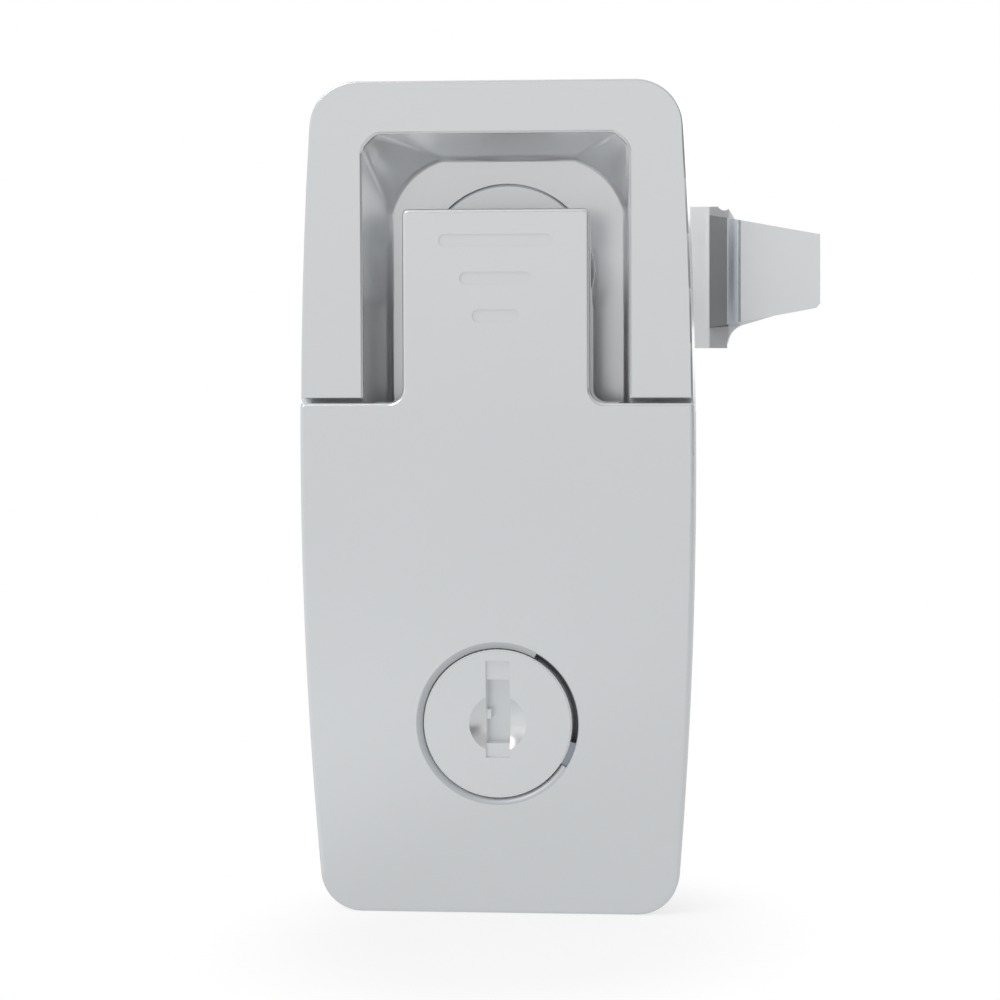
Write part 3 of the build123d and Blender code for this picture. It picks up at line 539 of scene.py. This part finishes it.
def spindleSurface(sizes):
    # radius(angle, y) = the least of the two-flat bar, the thread's wave and the end chamfers;
    # the thread's wave falls by its depth where y / pitch - angle / turn is a whole number
    corner = math.asin(sizes["flatHalf"] / sizes["radius"])
    arc = np.linspace(-corner, corner, sizes["arcColumns"])
    flat = np.linspace(corner, math.pi - corner, sizes["flatColumns"])[1:-1]
    angle = np.concatenate([arc, flat, arc + math.pi, flat + math.pi])
    plain = [sizes["buttonFront"], sizes["buttonFront"] + sizes["buttonEdge"],
             sizes["buttonBack"], sizes["buttonBack"], sizes["neckEnd"], sizes["neckEnd"],
             sizes["threadStart"]]
    cut = np.arange(sizes["threadStart"] + sizes["rowStep"], sizes["tip"], sizes["rowStep"])
    y = np.concatenate([plain, cut, [sizes["tip"]]])
    bar = np.minimum(sizes["radius"], sizes["flatHalf"] / np.maximum(np.abs(np.sin(angle)), 1e-6))
    full = np.full(len(y), sizes["radius"])
    full[:3] = [sizes["buttonRadius"] - sizes["buttonEdge"], sizes["buttonRadius"],
                sizes["buttonRadius"]]
    full[3:5] = sizes["neckRadius"]
    phase = (y[:, None] / sizes["threadPitch"] - angle[None, :] / (2 * math.pi)) % 1.0
    groove = (1 - np.abs(2 * phase - 1) - sizes["crestShare"]) / sizes["flankShare"]
    groove = np.clip(groove, 0, 1)
    fade = smoothRamp(y, sizes["threadStart"], sizes["threadStart"] + sizes["threadPitch"])
    wave = sizes["radius"] - sizes["threadDepth"] * groove * fade[:, None]
    taper = sizes["radius"] - np.clip(y - (sizes["tip"] - sizes["tipChamfer"]), 0, None)
    radius = np.minimum(np.minimum(wave, full[:, None]), taper[:, None])
    head = np.arange(len(y)) < 5
    radius = np.where(head[:, None], full[:, None], np.minimum(radius, bar[None, :]))
    return np.stack([radius * np.cos(angle), np.broadcast_to(y[:, None], radius.shape),
                     radius * np.sin(angle)], axis=-1)


springSizes = {
    "meanRadius": 0.0056,
    "wireRadius": 0.0006,
    "turns": 4.0,
    "first": 0.0247,
    "last": 0.0301,
    "flatTurn": 0.35,          # share of a turn that lies flat at each end
    "evenShare": 0.75,         # share of the rise that is even
    "endSize": 0.55,           # the ground ends, and the steps over which they fade
    "endSteps": 2,
    "stepsPerTurn": 56,
    "wireColumns": 14,
}


def springSurface(sizes):
    # a round wire carried along a helix whose rise is smooth between its two flat ends
    turn = np.linspace(0, sizes["turns"], int(sizes["turns"] * sizes["stepsPerTurn"]) + 1)
    rise = smoothRise(turn, sizes["flatTurn"], sizes["turns"], sizes["evenShare"])
    y = sizes["first"] + (sizes["last"] - sizes["first"]) * rise
    angle = turn * 2 * math.pi
    middle = np.stack([sizes["meanRadius"] * np.cos(angle), y,
                       sizes["meanRadius"] * np.sin(angle)], axis=-1)
    along = np.gradient(middle, axis=0)
    along /= np.linalg.norm(along, axis=1)[:, None]
    out = np.stack([np.cos(angle), np.zeros_like(angle), np.sin(angle)], axis=-1)
    across = np.cross(along, out)
    around = np.linspace(0, 2 * math.pi, sizes["wireColumns"], endpoint=False)
    ends = np.minimum(turn, sizes["turns"] - turn) * sizes["stepsPerTurn"]
    full = sizes["endSize"] + (1 - sizes["endSize"]) * ends / sizes["endSteps"]
    size = sizes["wireRadius"] * np.sqrt(np.clip(full, 0, 1))
    ring = (np.cos(around)[None, :, None] * out[:, None]
            + np.sin(around)[None, :, None] * across[:, None])
    return middle[:, None] + size[:, None, None] * ring


def smoothRise(turn, flat, turns, even):
    # 0 to 1 with an even climb between a flat start and a flat end
    inner = turns - 2 * flat
    climb = np.clip((turn - flat) / inner, 0, 1)
    soft = climb * climb * (3 - 2 * climb)
    return even * climb + (1 - even) * soft


armScrewSizes = {
    "height": lockZ,
    "headFront": armBox[1].y,
    "headBack": screwBox[1].y,
    "headRadius": 0.0031,
    "headDome": 0.00035,
    "crossHalf": 0.00038,
    "crossReach": 0.0017,
    "crossDepth": 0.0010,
    "crossSpread": 1.25,       # width at the top, as a share of the bar's
    "crossFlank": 0.5,
    "crossFall": 0.6,
    "centre": 0.00002,
    "shankRadius": 0.0015,
    "shankFront": screwBox[0].y,
    "rings": 30,
    "columns": 96,
}


def armScrewSurface(sizes):
    # a domed head with a cross recess: depth falls off with distance from the two bars of a cross
    angle = np.linspace(0, 2 * math.pi, sizes["columns"], endpoint=False)
    radius = np.linspace(sizes["headRadius"], sizes["centre"], sizes["rings"])
    reach = radius[:, None]
    x = reach * np.cos(angle)
    z = reach * np.sin(angle)
    dome = sizes["headBack"] - sizes["headDome"] * (reach / sizes["headRadius"]) ** 2
    bar = np.minimum(np.abs(x), np.abs(z))
    inside = smoothRamp(sizes["crossHalf"] * sizes["crossSpread"] - bar, 0,
                        sizes["crossHalf"] * sizes["crossFlank"])
    taper = np.clip(1 - reach / sizes["crossReach"], 0, 1) ** sizes["crossFall"]
    top = dome - sizes["crossDepth"] * inside * taper
    head = np.stack([x, np.broadcast_to(top, x.shape), z], axis=-1)
    rim = np.array([[sizes["shankRadius"], sizes["shankFront"]],
                    [sizes["shankRadius"], sizes["headFront"]],
                    [sizes["headRadius"], sizes["headFront"]]])
    side = np.stack([rim[:, 0, None] * np.cos(angle),
                     np.broadcast_to(rim[:, 1, None], (len(rim), len(angle))),
                     rim[:, 0, None] * np.sin(angle)], axis=-1)
    points = np.concatenate([side, head])
    points[:, :, 2] += sizes["height"]
    return points


barrelThreadSizes = {
    "height": lockZ,
    "start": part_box("lock_ring_nut")[1].y + 0.0001,
    "end": barrelBox[1].y - 0.0001,
    "root": 0.00748,
    "depth": 0.00032,
    "pitch": 0.0010,
    "fadeTurns": 0.6,
    "rowStep": 0.0001,
    "columns": 128,
}


def barrelThreadSurface(sizes):
    # radius = root plus a rounded wave of y / pitch - angle / turn, fading out at both ends
    angle = np.linspace(0, 2 * math.pi, sizes["columns"], endpoint=False)
    y = np.arange(sizes["start"], sizes["end"] + 1e-9, sizes["rowStep"])
    phase = y[:, None] / sizes["pitch"] - angle[None, :] / (2 * math.pi)
    crest = 0.5 + 0.5 * np.cos(2 * math.pi * phase)
    ends = smoothRamp(np.minimum(y - sizes["start"], sizes["end"] - y), 0,
                      sizes["pitch"] * sizes["fadeTurns"])
    radius = sizes["root"] + sizes["depth"] * crest * ends[:, None]
    return np.stack([radius * np.cos(angle), np.broadcast_to(y[:, None], radius.shape),
                     radius * np.sin(angle) + sizes["height"]], axis=-1)


spindleRod = gridMesh("spindle_rod", spindleSurface(spindleSizes))
dress(spindleRod, turned, "spindle")
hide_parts("spindle")

springCoil = gridMesh("spring_coil", springSurface(springSizes), sharpDeg=60.0)
springCoil.data.materials.append(springWire)
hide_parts("release_spring")
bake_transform(springCoil)

armScrew = gridMesh("arm_screw_head", armScrewSurface(armScrewSizes))
dress(armScrew, turnedLock, "plug")
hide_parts("arm_screw")

barrelThread = gridMesh("barrel_thread", barrelThreadSurface(barrelThreadSizes), capStart=False,
                        capEnd=False, sharpDeg=60.0)
dress(barrelThread, plated, "handle")
print("turned and coiled pieces made")


# stage, light and camera

stageLook = {
    "floorSide": 6.0,
    "floorTone": (0.92, 0.92, 0.92),
    "shadowShare": 0.32,      # share of the lit floor that the camera sees close to the latch
    "shadowFrom": 0.020,      # metres at which that share starts to fade
    "shadowTo": 0.055,        # and has faded out
    "shadowStretch": (1.6, 1.0, 1.0),
    "shadowCentre": (0.005, -0.02, 0.0),
    "floorMirrored": 0.668,   # brightness of the floor in the metal
    "floorLeft": 1.15,        # the same as a share of that on the left, the near right and far off
    "floorRight": 0.93,
    "floorFar": 0.84,
    "rightSlant": 0.25,       # how far the right side reaches in front, and where it begins
    "rightFrom": -0.060,
    "rightTo": -0.015,
    "farFrom": 0.12,
    "farTo": 0.35,
    "mirroredShare": 0.85,    # the rest of what metal mirrors is the lit floor, with its shadow
    "mirroredTint": (0.970, 0.985, 1.000),
    "worldPlain": 0.85,       # what lights dull surfaces
}


def paleFloor(look):
    half = look["floorSide"] / 2
    height = cadBox[0].z
    mesh = bpy.data.meshes.new("floor")
    mesh.from_pydata([(-half, -half, height), (half, -half, height), (half, half, height),
                      (-half, half, height)], [], [(0, 1, 2, 3)])
    floor = bpy.data.objects.new("floor", mesh)
    bpy.context.scene.collection.objects.link(floor)
    material, tree, start, place = newMaterial("paleFloor")
    lit = start.node("BsdfDiffuse", values={"Color": shade(look["floorTone"])})
    white = start.node("Emission", values={"Color": (1, 1, 1, 1), "Strength": 1.0})
    nearRight = place.part(0) + place.part(1) * look["rightSlant"]
    nearRight = nearRight.step(look["rightFrom"], look["rightTo"])
    farOff = (0.0 - place.part(1)).step(look["farFrom"], look["farTo"])
    mirrorStrength = look["floorLeft"] + nearRight * (look["floorRight"] - look["floorLeft"])
    mirrorStrength = mirrorStrength * (1 - farOff * (1 - look["floorFar"]))
    pale = start.node("Emission", values={"Color": shade(look["mirroredTint"]),
                                          "Strength": mirrorStrength * look["floorMirrored"]})
    seen = start.node("LightPath", out="Is Camera Ray")
    mirrored = start.node("LightPath", out="Is Glossy Ray")
    away = place.stretch(look["shadowStretch"]).fromAxis(look["shadowCentre"], 2)
    near = 1 - away.step(look["shadowFrom"], look["shadowTo"])
    shown = start.node("MixShader", values={0: 1 - near * look["shadowShare"], 1: lit, 2: white})
    first = start.node("MixShader", values={0: mirrored * look["mirroredShare"], 1: lit, 2: pale})
    finishMaterial(material, tree, start.node("MixShader", values={0: seen, 1: first, 2: shown}))
    mesh.materials.append(material)
    return floor


roomLook = {
    "front": 0.765,           # strength that metal mirrors from each side of the room
    "left": 0.86,
    "right": 0.14,
    "back": 1.35,
    "upper": 0.46,
    "zenith": 0.80,
    "sideFrom": 0.42, "sideTo": 0.84,    # where each begins, on the direction's own axis
    "backFrom": 0.66, "backTo": 0.88,
    "upperFrom": 0.14, "upperTo": 0.50,
    "zenithFrom": 0.72, "zenithTo": 0.95,
    "tint": (0.985, 0.992, 1.000),
}


def studioWorld(look, room):
    # white to the camera; metal mirrors a pale room: white behind, grey above, dark on the right
    world = bpy.data.worlds.new("studio")
    bpy.context.scene.world = world
    world.use_nodes = True
    tree = world.node_tree
    tree.nodes.clear()
    start = Wire(tree)
    direction = start.node("TexCoord", out="Generated")
    sideways, inwards, upward = [direction.part(axis) for axis in range(3)]
    strength = room["front"]
    sides = [(sideways, "right", "side"), (0.0 - sideways, "left", "side"),
             (upward, "upper", "upper"), (upward, "zenith", "zenith"), (inwards, "back", "back")]
    for towards, side, span in sides:
        share = towards.step(room[span + "From"], room[span + "To"])
        strength = strength + share * (room[side] - strength)
    seen = start.node("LightPath", out="Is Camera Ray")
    mirrored = start.node("LightPath", out="Is Glossy Ray")
    plain = start.node("Background", values={"Strength": look["worldPlain"]})
    mirror = start.node("Background", values={"Color": shade(room["tint"]), "Strength": strength})
    white = start.node("Background", values={"Color": (1, 1, 1, 1), "Strength": 1.0})
    first = start.node("MixShader", values={0: mirrored, 1: plain, 2: mirror})
    last = start.node("MixShader", values={0: seen, 1: first, 2: white})
    output = tree.nodes.new("ShaderNodeOutputWorld")
    tree.links.new(last.socket, output.inputs["Surface"])


lampLook = {
    "keyPlace": (-0.55, -0.70, 0.75),
    "keySize": 0.60,
    "keyPower": 4.0,
    "target": (0.0, 0.0, -0.03),
}


def softLamp(name, place, target, size, power):
    data = bpy.data.lights.new(name, "AREA")
    data.shape = "DISK"
    data.size = size
    data.energy = power
    lamp = bpy.data.objects.new(name, data)
    bpy.context.scene.collection.objects.link(lamp)
    lamp.location = place
    lamp.rotation_mode = "QUATERNION"
    lamp.rotation_quaternion = (Vector(target) - Vector(place)).to_track_quat("-Z", "Y")
    return lamp


cameraLook = {
    "target": (0.000418, -0.006, -0.024701),
    "distance": 0.40035,
    "yaw": 0.1088,
    "pitch": 0.0532,
    "roll": -0.0036,
    "focalPixels": 3730.2,    # for a picture 1000 pixels wide
    "picturePixels": 1000.0,
    "sensorWidth": 36.0,      # millimetres
    "clipStart": 0.01,
    "clipEnd": 20.0,
}


def photoCamera(look):
    yaw, pitch, roll = look["yaw"], look["pitch"], look["roll"]
    forward = Vector((-math.sin(yaw) * math.cos(pitch), math.cos(yaw) * math.cos(pitch),
                      -math.sin(pitch)))
    level = Vector((math.cos(yaw), math.sin(yaw), 0.0))
    above = level.cross(forward)
    right = level * math.cos(roll) + above * math.sin(roll)
    up = above * math.cos(roll) - level * math.sin(roll)
    data = bpy.data.cameras.new("photoCamera")
    data.sensor_width = look["sensorWidth"]
    data.sensor_fit = "HORIZONTAL"
    data.lens = look["focalPixels"] / look["picturePixels"] * look["sensorWidth"]
    data.clip_start = look["clipStart"]
    data.clip_end = look["clipEnd"]
    camera = bpy.data.objects.new("photoCamera", data)
    bpy.context.scene.collection.objects.link(camera)
    turn = Matrix((right, up, -forward)).transposed().to_4x4()
    place = Vector(look["target"]) - forward * look["distance"]
    camera.matrix_world = Matrix.Translation(place) @ turn
    bpy.context.scene.camera = camera


paleFloor(stageLook)
studioWorld(stageLook, roomLook)
softLamp("keyLamp", lampLook["keyPlace"], lampLook["target"], lampLook["keySize"],
         lampLook["keyPower"])
photoCamera(cameraLook)
bpy.context.scene.view_settings.view_transform = "Standard"
print("stage, light and camera set")
